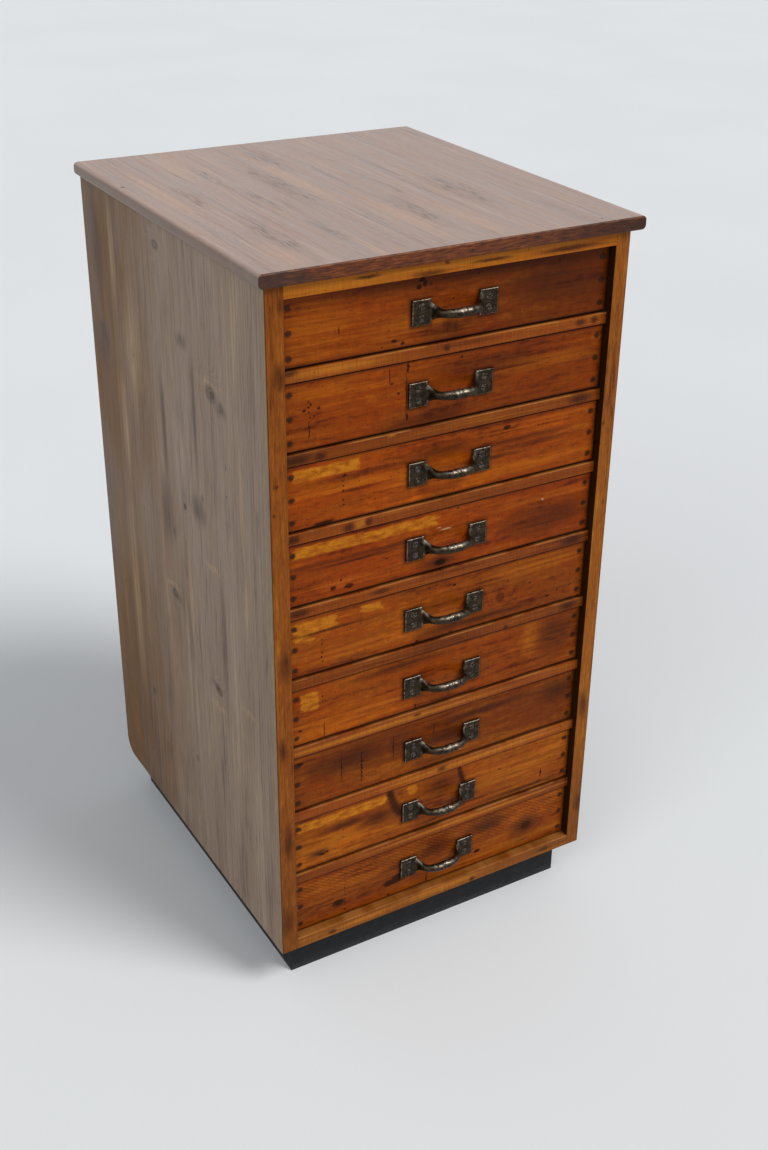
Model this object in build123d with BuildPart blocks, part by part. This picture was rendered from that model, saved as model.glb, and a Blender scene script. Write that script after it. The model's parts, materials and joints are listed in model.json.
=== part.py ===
from build123d import *

import os

# Seed storage cabinet: a floor-standing case of nine equal drawers on a recessed plinth.
# Millimetres, +Z up, the drawers face -Y. The origin is on the floor, under the middle of the
# whole cabinet, which the slab sets in width and the back and the pulls set in depth.

# ---------------------------------------------------------------- driving dimensions
DRAWER_COUNT = 9

CARCASS_W = 480.0
CARCASS_D = 541.0
CARCASS_H = 904.0
PLINTH_H = 60.0

SLAB_T = 16.5
SLAB_OVER_LEFT = 8.0
SLAB_OVER_RIGHT = 17.0
SLAB_OVER_FRONT = 7.0
SLAB_SIDE_R = 5.5
SLAB_END_R = 2.0

PANEL_T = 20.0
PANEL_CORNER_R = 25.0
HOUSING_DEPTH = 6.0

STILE_D = 13.0
LEFT_STILE_W = 23.0
RIGHT_STILE_W = 20.0
EDGE_R = 1.0

TOP_RAIL_H = 16.0
BOTTOM_RAIL_H = 16.0
DRAWER_RAIL_H = 14.0
DRAWER_RAIL_RECESS = 8.5
RAIL_D = 45.0
REAR_RAIL_D = 40.0
RUNNER_W = 22.0

BACK_T = 10.0
BACK_REBATE_W = 8.0
BACK_BOARD_COUNT = 5
BACK_BOARD_GAP = 0.6
JOINT_GAP = 0.2

PLINTH_BOARD_T = 18.0
PLINTH_INSET_FRONT = 25.0
PLINTH_INSET_SIDE = 24.5
PLINTH_INSET_REAR = 20.0

DRAWER_FRONT_T = 18.0
DRAWER_FRONT_RECESS = 11.5
DRAWER_GAP_SIDE = 1.3
DRAWER_GAP_BELOW = 2.0
DRAWER_GAP_ABOVE = 1.0
DRAWER_SIDE_T = 11.0
DRAWER_SIDE_INSET = 3.0
DRAWER_SIDE_H = 77.0
DRAWER_LIFT = 0.5
DRAWER_BACK_T = 10.0
DRAWER_BACK_H = 70.0
DRAWER_BACK_INSET = 3.0
DRAWER_REAR_ROOM = 8.0
DRAWER_BOTTOM_T = 6.0
BOTTOM_GROOVE_DEPTH = 4.0
BOTTOM_GROOVE_UP = 6.0
BOTTOM_GROOVE_PLAY = 0.4
BOTTOM_SIDE_PLAY = 0.5

PULL_L = 114.0
PULL_H = 30.0
PULL_PLATE_W = 24.0
PULL_PLATE_T = 3.5
PULL_EDGE_R = 0.9
# half of the bow's centre line: distance from the middle and reach in front of the drawer
BOW_POINTS = [(37.5, 1.75), (31.2, 5.0), (27.0, 12.5), (20.0, 19.5), (10.0, 22.2)]
BOW_REACH = 22.6
BOW_R = 5.75
BOW_STATIONS = 11
# the bar is a flat oval where it leaves a plate and round in the middle, thinnest at its neck
ROOT_HALF_H = 11.5
ROOT_HALF_T = 1.3
NECK_HALF_H = 5.0
NECK_HALF_T = 4.5
NECK_AT = 0.42
# how far each hand-fitted pull sits right of and below the middle of its drawer, top to bottom
PULL_SHIFT = [1.5, -0.5, 1.0, 0.0, 0.0, 0.0, 3.5, 1.5, 0.5]
PULL_DROP = [2.5, 1.5, 3.0, 4.0, 3.5, 4.5, 4.0, 4.0, 0.0]

PULL_SCREW_X = 45.0
PULL_SCREW_Z = 7.0
PULL_SCREW_L = 17.0
SCREW_R = 2.0
SCREW_HEAD_R = 4.3
SCREW_HEAD_T = 2.3
SCREW_SLOT_W = 1.1
SCREW_SLOT_D = 0.9
SCREW_SUNK = 0.2
SCREW_POINT = 4.0
SCREW_PLAY = 0.15
COUNTERSINK_ANGLE = 90
# how far a hole that goes right through a board is cut past its far face
THROUGH = 1.0
# how much deeper a blind hole is than its fastener's reach
HOLE_SPARE = 0.5

NAIL_R = 1.1
NAIL_HEAD_R = 2.2
NAIL_HEAD_T = 0.8
NAIL_SUNK = 0.2
NAIL_POINT = 3.0
NAIL_PLAY = 0.1
FRONT_NAIL_L = 38.0
FRONT_NAIL_DOWN = 13.5
FRONT_NAIL_UP = 11.0
BACK_NAIL_L = 28.0
SLAB_SCREW_L = 27.0
SLAB_SCREW_COUNT = 3
FRONT_SCREW_BACK = 29.0
PLINTH_SCREW_L = 45.0
PLINTH_SCREW_IN = 80.0

# ---------------------------------------------------------------- derived places
PULL_PROUD = BOW_REACH + BOW_R - DRAWER_FRONT_RECESS
FRONT_Y = PULL_PROUD - (CARCASS_D + PULL_PROUD) / 2
BACK_Y = FRONT_Y + CARCASS_D
SLAB_W = SLAB_OVER_LEFT + CARCASS_W + SLAB_OVER_RIGHT
LEFT_X = SLAB_OVER_LEFT - SLAB_W / 2
RIGHT_X = LEFT_X + CARCASS_W
BASE_Z = PLINTH_H
CASE_TOP_Z = BASE_Z + CARCASS_H

OPENING_LEFT_X = LEFT_X + LEFT_STILE_W
OPENING_RIGHT_X = RIGHT_X - RIGHT_STILE_W
INNER_LEFT_X = LEFT_X + PANEL_T
INNER_RIGHT_X = RIGHT_X - PANEL_T
HOUSED_LEFT_X = INNER_LEFT_X - HOUSING_DEPTH
HOUSED_RIGHT_X = INNER_RIGHT_X + HOUSING_DEPTH
STILE_BACK_Y = FRONT_Y + STILE_D
RAIL_BACK_Y = FRONT_Y + DRAWER_RAIL_RECESS + RAIL_D
END_RAIL_BACK_Y = FRONT_Y + RAIL_D
BACK_BOARD_Y = BACK_Y - BACK_T
REAR_RAIL_Y = BACK_BOARD_Y - REAR_RAIL_D
FLOOR_TOP_Z = BASE_Z + BOTTOM_RAIL_H
TOP_RAIL_Z = CASE_TOP_Z - TOP_RAIL_H

RAILS_TOTAL_H = TOP_RAIL_H + BOTTOM_RAIL_H + (DRAWER_COUNT - 1) * DRAWER_RAIL_H
OPENING_H = (CARCASS_H - RAILS_TOTAL_H) / DRAWER_COUNT
DRAWER_PITCH = OPENING_H + DRAWER_RAIL_H

DRAWER_LEFT_X = OPENING_LEFT_X + DRAWER_GAP_SIDE
DRAWER_RIGHT_X = OPENING_RIGHT_X - DRAWER_GAP_SIDE
DRAWER_MIDDLE_X = (DRAWER_LEFT_X + DRAWER_RIGHT_X) / 2
DRAWER_FACE_Y = FRONT_Y + DRAWER_FRONT_RECESS
DRAWER_BOX_Y = DRAWER_FACE_Y + DRAWER_FRONT_T
DRAWER_END_Y = BACK_BOARD_Y - DRAWER_REAR_ROOM
BOX_LEFT_X = DRAWER_LEFT_X + DRAWER_SIDE_INSET
BOX_RIGHT_X = DRAWER_RIGHT_X - DRAWER_SIDE_INSET
BOX_INNER_LEFT_X = BOX_LEFT_X + DRAWER_SIDE_T
BOX_INNER_RIGHT_X = BOX_RIGHT_X - DRAWER_SIDE_T
GROOVE_H = DRAWER_BOTTOM_T + BOTTOM_GROOVE_PLAY

PLINTH_LEFT_X = LEFT_X + PLINTH_INSET_SIDE
PLINTH_RIGHT_X = RIGHT_X - PLINTH_INSET_SIDE
PLINTH_FRONT_Y = FRONT_Y + PLINTH_INSET_FRONT
PLINTH_BACK_Y = BACK_Y - PLINTH_INSET_REAR

# directions in which a fastener's head looks
FACING_FRONT = (90, 0, 0)
FACING_BACK = (-90, 0, 0)
FACING_UP = (0, 0, 0)
FACING_DOWN = (180, 0, 0)


def opening_z(number):
    """Bottom of the drawer opening with this number, 1 at the top."""
    return FLOOR_TOP_Z + (DRAWER_COUNT - number) * DRAWER_PITCH


def front_bottom_z(number):
    return opening_z(number) + DRAWER_GAP_BELOW


def front_top_z(number):
    return opening_z(number) + OPENING_H - DRAWER_GAP_ABOVE


def box_z(number):
    """Underside of the drawer's sides, just clear of the runners."""
    return opening_z(number) + DRAWER_LIFT


def pull_place(number):
    """Middle of the pull's back, on the face of its drawer."""
    x = DRAWER_MIDDLE_X + PULL_SHIFT[number - 1]
    z = (front_bottom_z(number) + front_top_z(number)) / 2 - PULL_DROP[number - 1]
    return (x, DRAWER_FACE_Y, z)


def finish(piece, name):
    """Label a finished piece and write it."""
    piece.part.label = name
    export_step(piece.part, f"parts/{name}.step")


def board_between(low, high):
    """Add a plain board between two corners to the part being built."""
    middle = tuple((a + b) / 2 for a, b in zip(low, high))
    size = [b - a for a, b in zip(low, high)]
    with Locations(middle):
        Box(*size)


def cut_between(low, high):
    """Cut a plain block between two corners from the part being built."""
    middle = tuple((a + b) / 2 for a, b in zip(low, high))
    size = [b - a for a, b in zip(low, high)]
    with Locations(middle):
        Box(*size, mode=Mode.SUBTRACT)


def edges_at_y(part, y):
    """The edges that bound the flat face of a board at this y."""
    return part.edges().filter_by(lambda edge: abs(edge.bounding_box().max.Y - y) < 1e-6
                                  and abs(edge.bounding_box().min.Y - y) < 1e-6)


# ---------------------------------------------------------------- fasteners
# Each stands on its axis with the top of its head at z = 0 and its point below.
def make_screw(length):
    """Slotted countersunk wood screw."""
    with BuildPart() as screw:
        with BuildSketch(Plane.XZ):
            with BuildLine():
                Polyline(
                    (0, 0),
                    (SCREW_HEAD_R, 0),
                    (SCREW_R, -SCREW_HEAD_T),
                    (SCREW_R, SCREW_POINT - length),
                    (0, -length),
                    close=True,
                )
            make_face()
        revolve(axis=Axis.Z)
        with Locations((0, 0, -SCREW_SLOT_D / 2)):
            Box(2 * SCREW_HEAD_R + THROUGH, SCREW_SLOT_W, SCREW_SLOT_D, mode=Mode.SUBTRACT)
    return screw.part


def make_nail(length):
    """Round flat-headed nail."""
    with BuildPart() as nail:
        with BuildSketch(Plane.XZ):
            with BuildLine():
                Polyline(
                    (0, 0),
                    (NAIL_HEAD_R, 0),
                    (NAIL_HEAD_R, -NAIL_HEAD_T),
                    (NAIL_R, -NAIL_HEAD_T),
                    (NAIL_R, NAIL_POINT - length),
                    (0, -length),
                    close=True,
                )
            make_face()
        revolve(axis=Axis.Z)
    return nail.part


def nail_holes(places, depth):
    """Cut holes for nails whose heads lie just under the surface."""
    with Locations(*places):
        CounterBoreHole(
            radius=NAIL_R + NAIL_PLAY,
            counter_bore_radius=NAIL_HEAD_R + NAIL_PLAY,
            counter_bore_depth=NAIL_HEAD_T + NAIL_SUNK + NAIL_PLAY,
            depth=depth,
        )


def screw_holes(places, depth):
    """Cut countersunk holes for screws whose heads lie just under the surface."""
    with Locations(*places):
        CounterSinkHole(
            radius=SCREW_R + SCREW_PLAY,
            counter_sink_radius=SCREW_HEAD_R + SCREW_SUNK + SCREW_PLAY,
            counter_sink_angle=COUNTERSINK_ANGLE,
            depth=depth,
        )


def sunk(place, below):
    """The place of a fastener whose head lies this far under the surface."""
    return place * Location((0, 0, -below))


# ---------------------------------------------------------------- places of the carcass fixings
def across(left, right, count):
    """Evenly spaced values, half a step in from both ends."""
    step = (right - left) / count
    return [left + step * (index + 0.5) for index in range(count)]


BACK_LEFT_X = INNER_LEFT_X - BACK_REBATE_W
BACK_RIGHT_X = INNER_RIGHT_X + BACK_REBATE_W
BACK_BOARD_W = (BACK_RIGHT_X - BACK_LEFT_X) / BACK_BOARD_COUNT
BACK_BOARD_XS = across(BACK_LEFT_X, BACK_RIGHT_X, BACK_BOARD_COUNT)
BACK_NAIL_XS = across(BACK_LEFT_X + PANEL_T, BACK_RIGHT_X - PANEL_T, 2 * BACK_BOARD_COUNT)
BACK_NAIL_ZS = (BASE_Z + BOTTOM_RAIL_H / 2, CASE_TOP_Z - TOP_RAIL_H / 2)
SLAB_SCREW_XS = across(INNER_LEFT_X, INNER_RIGHT_X, SLAB_SCREW_COUNT)
FRONT_SCREW_Y = FRONT_Y + FRONT_SCREW_BACK
REAR_SCREW_Y = REAR_RAIL_Y + REAR_RAIL_D / 2
PLINTH_SCREW_XS = (PLINTH_LEFT_X + PLINTH_BOARD_T / 2, PLINTH_RIGHT_X - PLINTH_BOARD_T / 2)
PLINTH_SCREW_YS = (PLINTH_FRONT_Y + PLINTH_SCREW_IN, PLINTH_BACK_Y - PLINTH_SCREW_IN)


def back_nail_places(y):
    return [Location((x, y, z), FACING_BACK) for x in BACK_NAIL_XS for z in BACK_NAIL_ZS]


def slab_screw_places(y, z):
    return [Location((x, y, z), FACING_DOWN) for x in SLAB_SCREW_XS]


def plinth_screw_places(z):
    return [Location((x, y, z), FACING_UP) for x in PLINTH_SCREW_XS for y in PLINTH_SCREW_YS]


# ---------------------------------------------------------------- carcass
def build_top_slab():
    """Solid board whose long side edges are rounded over and whose ends are eased."""
    with BuildPart() as top_slab:
        with BuildSketch(Plane.XZ.offset(-BACK_Y)):
            with Locations((0, CASE_TOP_Z + SLAB_T / 2)):
                RectangleRounded(SLAB_W, SLAB_T, SLAB_SIDE_R)
        extrude(amount=CARCASS_D + SLAB_OVER_FRONT)
        fillet(edges_at_y(top_slab, FRONT_Y - SLAB_OVER_FRONT), radius=SLAB_END_R)
        fillet(edges_at_y(top_slab, BACK_Y), radius=SLAB_END_R)
        hole_depth = SLAB_SCREW_L - TOP_RAIL_H + HOLE_SPARE
        for screw_y in (FRONT_SCREW_Y, REAR_SCREW_Y):
            with Locations(*slab_screw_places(screw_y, CASE_TOP_Z)):
                Hole(radius=SCREW_R + SCREW_PLAY, depth=hole_depth)
    finish(top_slab, "top_slab")


def build_side_panel(name, outer_x, inner_x):
    """Side board, housed for the rails and the floor and rebated for the back boards."""
    inward = 1 if inner_x > outer_x else -1
    housing_x = sorted((inner_x - inward * HOUSING_DEPTH, inner_x + inward * THROUGH))
    rebate_x = sorted((inner_x - inward * BACK_REBATE_W, inner_x + inward * THROUGH))
    front_housings = [(TOP_RAIL_Z, TOP_RAIL_H, END_RAIL_BACK_Y)]
    for number in range(1, DRAWER_COUNT):
        rail_z = opening_z(number) - DRAWER_RAIL_H
        front_housings.append((rail_z, DRAWER_RAIL_H, RAIL_BACK_Y))
    with BuildPart() as panel:
        with BuildSketch(Plane.YZ.offset(min(outer_x, inner_x))):
            with BuildLine():
                Line((STILE_BACK_Y, BASE_Z), (BACK_Y - PANEL_CORNER_R, BASE_Z))
                RadiusArc(
                    (BACK_Y - PANEL_CORNER_R, BASE_Z),
                    (BACK_Y, BASE_Z + PANEL_CORNER_R),
                    -PANEL_CORNER_R,
                )
                Line((BACK_Y, BASE_Z + PANEL_CORNER_R), (BACK_Y, CASE_TOP_Z))
                Line((BACK_Y, CASE_TOP_Z), (STILE_BACK_Y, CASE_TOP_Z))
                Line((STILE_BACK_Y, CASE_TOP_Z), (STILE_BACK_Y, BASE_Z))
            make_face()
        extrude(amount=PANEL_T)
        for low_z, height, back_y in front_housings:
            cut_between(
                (housing_x[0], STILE_BACK_Y, low_z), (housing_x[1], back_y, low_z + height)
            )
        cut_between((housing_x[0], STILE_BACK_Y, BASE_Z), (housing_x[1], BACK_BOARD_Y, FLOOR_TOP_Z))
        cut_between((housing_x[0], REAR_RAIL_Y, TOP_RAIL_Z), (housing_x[1], BACK_BOARD_Y, CASE_TOP_Z))
        cut_between((rebate_x[0], BACK_BOARD_Y, BASE_Z), (rebate_x[1], BACK_Y, CASE_TOP_Z))
    finish(panel, name)


def build_stile(name, low_x, high_x):
    """Lipping strip that covers the front edge of a side panel."""
    with BuildPart() as stile:
        board_between((low_x, FRONT_Y, BASE_Z), (high_x, STILE_BACK_Y, CASE_TOP_Z))
        upright = edges_at_y(stile, FRONT_Y).filter_by(Axis.Z)
        fillet(upright, radius=EDGE_R)
    finish(stile, name)


def add_cross_rail(front_y, back_y, low_z, height):
    """Add a rail whose ends are notched round the stiles and housed in the panels."""
    board_between(
        (OPENING_LEFT_X, front_y, low_z), (OPENING_RIGHT_X, STILE_BACK_Y, low_z + height)
    )
    board_between(
        (HOUSED_LEFT_X, STILE_BACK_Y, low_z), (HOUSED_RIGHT_X, back_y, low_z + height)
    )


def build_end_rails():
    """Top and bottom rail, both flush with the stiles."""
    with BuildPart() as top_rail:
        add_cross_rail(FRONT_Y, END_RAIL_BACK_Y, TOP_RAIL_Z, TOP_RAIL_H)
        screw_holes(slab_screw_places(FRONT_SCREW_Y, TOP_RAIL_Z), TOP_RAIL_H + THROUGH)
    finish(top_rail, "top_rail")
    with BuildPart() as bottom_rail:
        add_cross_rail(FRONT_Y, END_RAIL_BACK_Y, BASE_Z, BOTTOM_RAIL_H)
        upper = edges_at_y(bottom_rail, FRONT_Y).filter_by(Axis.X).sort_by(Axis.Z)[-1]
        fillet(upper, radius=EDGE_R)
    finish(bottom_rail, "bottom_rail")


def build_drawer_rails():
    """The eight rails between the drawers, set back behind the stiles' faces."""
    rail_front_y = FRONT_Y + DRAWER_RAIL_RECESS
    with BuildPart() as drawer_rails:
        for number in range(1, DRAWER_COUNT):
            rail_z = opening_z(number) - DRAWER_RAIL_H
            add_cross_rail(rail_front_y, RAIL_BACK_Y, rail_z, DRAWER_RAIL_H)
        fillet(edges_at_y(drawer_rails, rail_front_y).filter_by(Axis.X), radius=EDGE_R)
    finish(drawer_rails, "drawer_rails")


def build_runners(name, low_x, high_x):
    """Strips that carry the drawers behind each rail, and one that holds down the top drawer."""
    with BuildPart() as runners:
        for number in range(1, DRAWER_COUNT):
            top_z = opening_z(number)
            board_between(
                (low_x, RAIL_BACK_Y, top_z - DRAWER_RAIL_H), (high_x, BACK_BOARD_Y, top_z)
            )
        board_between((low_x, END_RAIL_BACK_Y, TOP_RAIL_Z), (high_x, REAR_RAIL_Y, CASE_TOP_Z))
    finish(runners, name)


def build_floor_board():
    """Board that carries the bottom drawer and closes the case below."""
    with BuildPart() as floor_board:
        board_between(
            (HOUSED_LEFT_X, END_RAIL_BACK_Y, BASE_Z), (HOUSED_RIGHT_X, BACK_BOARD_Y, FLOOR_TOP_Z)
        )
        screw_holes(plinth_screw_places(FLOOR_TOP_Z), BOTTOM_RAIL_H + THROUGH)
        low_row = [place for place in back_nail_places(BACK_BOARD_Y)
                   if place.position.Z < FLOOR_TOP_Z]
        with Locations(*low_row):
            Hole(radius=NAIL_R + NAIL_PLAY, depth=BACK_NAIL_L - BACK_T + HOLE_SPARE)
    finish(floor_board, "floor_board")


def build_rear_top_rail():
    """Rail under the back of the slab, which the back boards are nailed to."""
    with BuildPart() as rear_top_rail:
        board_between(
            (HOUSED_LEFT_X, REAR_RAIL_Y, TOP_RAIL_Z), (HOUSED_RIGHT_X, BACK_BOARD_Y, CASE_TOP_Z)
        )
        screw_holes(slab_screw_places(REAR_SCREW_Y, TOP_RAIL_Z), TOP_RAIL_H + THROUGH)
        top_row = [place for place in back_nail_places(BACK_BOARD_Y)
                   if place.position.Z > TOP_RAIL_Z]
        with Locations(*top_row):
            Hole(radius=NAIL_R + NAIL_PLAY, depth=BACK_NAIL_L - BACK_T + HOLE_SPARE)
    finish(rear_top_rail, "rear_top_rail")


def build_back_boards():
    """Upright boards side by side, let into the panels' rebates."""
    half_width = (BACK_BOARD_W - BACK_BOARD_GAP) / 2
    with BuildPart() as back_boards:
        for board_x in BACK_BOARD_XS:
            board_between(
                (board_x - half_width, BACK_BOARD_Y, BASE_Z),
                (board_x + half_width, BACK_Y, CASE_TOP_Z),
            )
        nail_holes(back_nail_places(BACK_Y), BACK_T + THROUGH)
    finish(back_boards, "back_boards")


def build_plinth():
    """Four boards on edge, well inside the outline of the case."""
    side_front_y = PLINTH_FRONT_Y + PLINTH_BOARD_T
    side_back_y = PLINTH_BACK_Y - PLINTH_BOARD_T
    with BuildPart() as plinth:
        for low_y, high_y in ((PLINTH_FRONT_Y, side_front_y), (side_back_y, PLINTH_BACK_Y)):
            board_between((PLINTH_LEFT_X, low_y, 0), (PLINTH_RIGHT_X, high_y, PLINTH_H))
        for low_x in (PLINTH_LEFT_X, PLINTH_RIGHT_X - PLINTH_BOARD_T):
            board_between(
                (low_x, side_front_y + JOINT_GAP, 0),
                (low_x + PLINTH_BOARD_T, side_back_y - JOINT_GAP, PLINTH_H),
            )
        with Locations(*plinth_screw_places(PLINTH_H)):
            Hole(radius=SCREW_R + SCREW_PLAY, depth=PLINTH_SCREW_L - BOTTOM_RAIL_H + HOLE_SPARE)
    finish(plinth, "plinth")


def build_carcass_fixings():
    """Screws that hold the slab and the plinth, and the nails of the back boards."""
    slab_screw = make_screw(SLAB_SCREW_L)
    plinth_screw = make_screw(PLINTH_SCREW_L)
    back_nail = make_nail(BACK_NAIL_L)
    slab_places = slab_screw_places(FRONT_SCREW_Y, TOP_RAIL_Z)
    slab_places += slab_screw_places(REAR_SCREW_Y, TOP_RAIL_Z)
    with BuildPart() as carcass_fixings:
        with Locations(*[sunk(place, SCREW_SUNK) for place in slab_places]):
            add(slab_screw)
        with Locations(*[sunk(place, SCREW_SUNK) for place in plinth_screw_places(FLOOR_TOP_Z)]):
            add(plinth_screw)
        with Locations(*[sunk(place, NAIL_SUNK) for place in back_nail_places(BACK_Y)]):
            add(back_nail)
    finish(carcass_fixings, "carcass_fixings")


# ---------------------------------------------------------------- drawers
def front_nail_points(number):
    """Where the front is nailed to the ends of the sides: three nails at each end."""
    low_z = front_bottom_z(number) + FRONT_NAIL_UP
    high_z = front_top_z(number) - FRONT_NAIL_DOWN
    xs = (BOX_LEFT_X + DRAWER_SIDE_T / 2, BOX_RIGHT_X - DRAWER_SIDE_T / 2)
    return [(x, z) for x in xs for z in (low_z, (low_z + high_z) / 2, high_z)]


def front_nail_places(number, y):
    return [Location((x, y, z), FACING_FRONT) for x, z in front_nail_points(number)]


def pull_screw_places(number, y):
    x, _, z = pull_place(number)
    return [Location((x + side * PULL_SCREW_X, y, z + level * PULL_SCREW_Z), FACING_FRONT)
            for side in (-1, 1) for level in (-1, 1)]


def build_drawer_front(number):
    """Thick board with eased edges, grooved behind for the bottom."""
    groove_z = box_z(number) + BOTTOM_GROOVE_UP
    groove_left_x = BOX_INNER_LEFT_X - BOTTOM_GROOVE_DEPTH
    groove_right_x = BOX_INNER_RIGHT_X + BOTTOM_GROOVE_DEPTH
    with BuildPart() as drawer_front:
        board_between(
            (DRAWER_LEFT_X, DRAWER_FACE_Y, front_bottom_z(number)),
            (DRAWER_RIGHT_X, DRAWER_BOX_Y, front_top_z(number)),
        )
        fillet(edges_at_y(drawer_front, DRAWER_FACE_Y), radius=EDGE_R)
        cut_between(
            (groove_left_x, DRAWER_BOX_Y - BOTTOM_GROOVE_DEPTH, groove_z),
            (groove_right_x, DRAWER_BOX_Y, groove_z + GROOVE_H),
        )
        nail_holes(front_nail_places(number, DRAWER_FACE_Y), DRAWER_FRONT_T + THROUGH)
        with Locations(*pull_screw_places(number, DRAWER_FACE_Y)):
            Hole(radius=SCREW_R + SCREW_PLAY, depth=PULL_SCREW_L - PULL_PLATE_T + HOLE_SPARE)
    finish(drawer_front, f"drawer_{number}_front")


def build_drawer_box(number):
    """Two grooved sides and a low back that stands on the bottom."""
    low_z = box_z(number)
    groove_z = low_z + BOTTOM_GROOVE_UP
    back_y = DRAWER_END_Y - DRAWER_BACK_INSET
    with BuildPart() as drawer_box:
        for side_x in (BOX_LEFT_X, BOX_INNER_RIGHT_X):
            board_between(
                (side_x, DRAWER_BOX_Y, low_z),
                (side_x + DRAWER_SIDE_T, DRAWER_END_Y, low_z + DRAWER_SIDE_H),
            )
        board_between(
            (BOX_INNER_LEFT_X + JOINT_GAP, back_y - DRAWER_BACK_T, groove_z + DRAWER_BOTTOM_T),
            (BOX_INNER_RIGHT_X - JOINT_GAP, back_y, low_z + DRAWER_BACK_H),
        )
        for groove_x in (BOX_INNER_LEFT_X - BOTTOM_GROOVE_DEPTH, BOX_INNER_RIGHT_X):
            cut_between(
                (groove_x, DRAWER_BOX_Y, groove_z),
                (groove_x + BOTTOM_GROOVE_DEPTH, DRAWER_END_Y, groove_z + GROOVE_H),
            )
        with Locations(*front_nail_places(number, DRAWER_BOX_Y)):
            Hole(radius=NAIL_R + NAIL_PLAY, depth=FRONT_NAIL_L - DRAWER_FRONT_T + HOLE_SPARE)
    finish(drawer_box, f"drawer_{number}_box")


def build_drawer_bottom(number):
    """Thin board slid into the grooves from behind, under the back."""
    low_z = box_z(number) + BOTTOM_GROOVE_UP
    tongue = BOTTOM_GROOVE_DEPTH - BOTTOM_SIDE_PLAY
    with BuildPart() as drawer_bottom:
        board_between(
            (BOX_INNER_LEFT_X - tongue, DRAWER_BOX_Y - tongue, low_z),
            (BOX_INNER_RIGHT_X + tongue, DRAWER_END_Y - DRAWER_BACK_INSET, low_z + DRAWER_BOTTOM_T),
        )
    finish(drawer_bottom, f"drawer_{number}_bottom")


# ---------------------------------------------------------------- pulls
def eased(start, end, share):
    """A value that leaves start and reaches end without a kink, as share goes from 0 to 1."""
    return start + (end - start) * share * share * (3 - 2 * share)


def bow_section(share):
    """Half height and half thickness of the bar, share 0 at its root and 1 in its middle."""
    if share < NECK_AT:
        towards_neck = share / NECK_AT
        return (
            eased(ROOT_HALF_H, NECK_HALF_H, towards_neck),
            eased(ROOT_HALF_T, NECK_HALF_T, towards_neck),
        )
    past_neck = (share - NECK_AT) / (1 - NECK_AT)
    return eased(NECK_HALF_H, BOW_R, past_neck), eased(NECK_HALF_T, BOW_R, past_neck)


def make_pull():
    """Cast pull: two square plates joined by a bar that swells in the middle and bows out."""
    with BuildPart() as pull:
        with Locations(((PULL_PLATE_W - PULL_L) / 2, -PULL_PLATE_T / 2, 0)):
            Box(PULL_PLATE_W, PULL_PLATE_T, PULL_H)
        fillet(edges_at_y(pull, -PULL_PLATE_T), radius=PULL_EDGE_R)
        with BuildLine():
            points = [(-x, -reach) for x, reach in BOW_POINTS]
            bow = Spline(*points, (0, -BOW_REACH), tangents=((1, 0), (1, 0)))
        for station in range(BOW_STATIONS):
            share = station / (BOW_STATIONS - 1)
            half_h, half_t = bow_section(share)
            with BuildSketch(Plane(origin=bow @ share, x_dir=(0, 0, 1), z_dir=bow % share)):
                Ellipse(half_h, half_t)
        loft()
        mirror(about=Plane.YZ)
    return pull.part


def build_pulls_and_fixings():
    """The nine pulls, each with its four screws and its drawer's six nails."""
    pull_shape = make_pull()
    pull_screw = make_screw(PULL_SCREW_L)
    front_nail = make_nail(FRONT_NAIL_L)
    for number in range(1, DRAWER_COUNT + 1):
        plate_face_y = DRAWER_FACE_Y - PULL_PLATE_T
        with BuildPart() as drawer_pull:
            with Locations(pull_place(number)):
                add(pull_shape)
            screw_holes(pull_screw_places(number, plate_face_y), PULL_PLATE_T + THROUGH)
        finish(drawer_pull, f"drawer_{number}_pull")
        screw_places = pull_screw_places(number, plate_face_y)
        nail_places = front_nail_places(number, DRAWER_FACE_Y)
        with BuildPart() as drawer_fixings:
            with Locations(*[sunk(place, SCREW_SUNK) for place in screw_places]):
                add(pull_screw)
            with Locations(*[sunk(place, NAIL_SUNK) for place in nail_places]):
                add(front_nail)
        finish(drawer_fixings, f"drawer_{number}_fixings")


# ---------------------------------------------------------------- build everything
os.makedirs("parts", exist_ok=True)

build_top_slab()
build_side_panel("left_side_panel", LEFT_X, INNER_LEFT_X)
build_side_panel("right_side_panel", RIGHT_X, INNER_RIGHT_X)
build_stile("left_stile", LEFT_X, OPENING_LEFT_X)
build_stile("right_stile", OPENING_RIGHT_X, RIGHT_X)
build_end_rails()
build_drawer_rails()
build_runners("left_runners", INNER_LEFT_X, INNER_LEFT_X + RUNNER_W)
build_runners("right_runners", INNER_RIGHT_X - RUNNER_W, INNER_RIGHT_X)
build_floor_board()
build_rear_top_rail()
build_back_boards()
build_plinth()
build_carcass_fixings()
for drawer_number in range(1, DRAWER_COUNT + 1):
    build_drawer_front(drawer_number)
    build_drawer_box(drawer_number)
    build_drawer_bottom(drawer_number)
build_pulls_and_fixings()
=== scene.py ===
import json
import math

import bpy
from mathutils import Matrix, Vector

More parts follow.
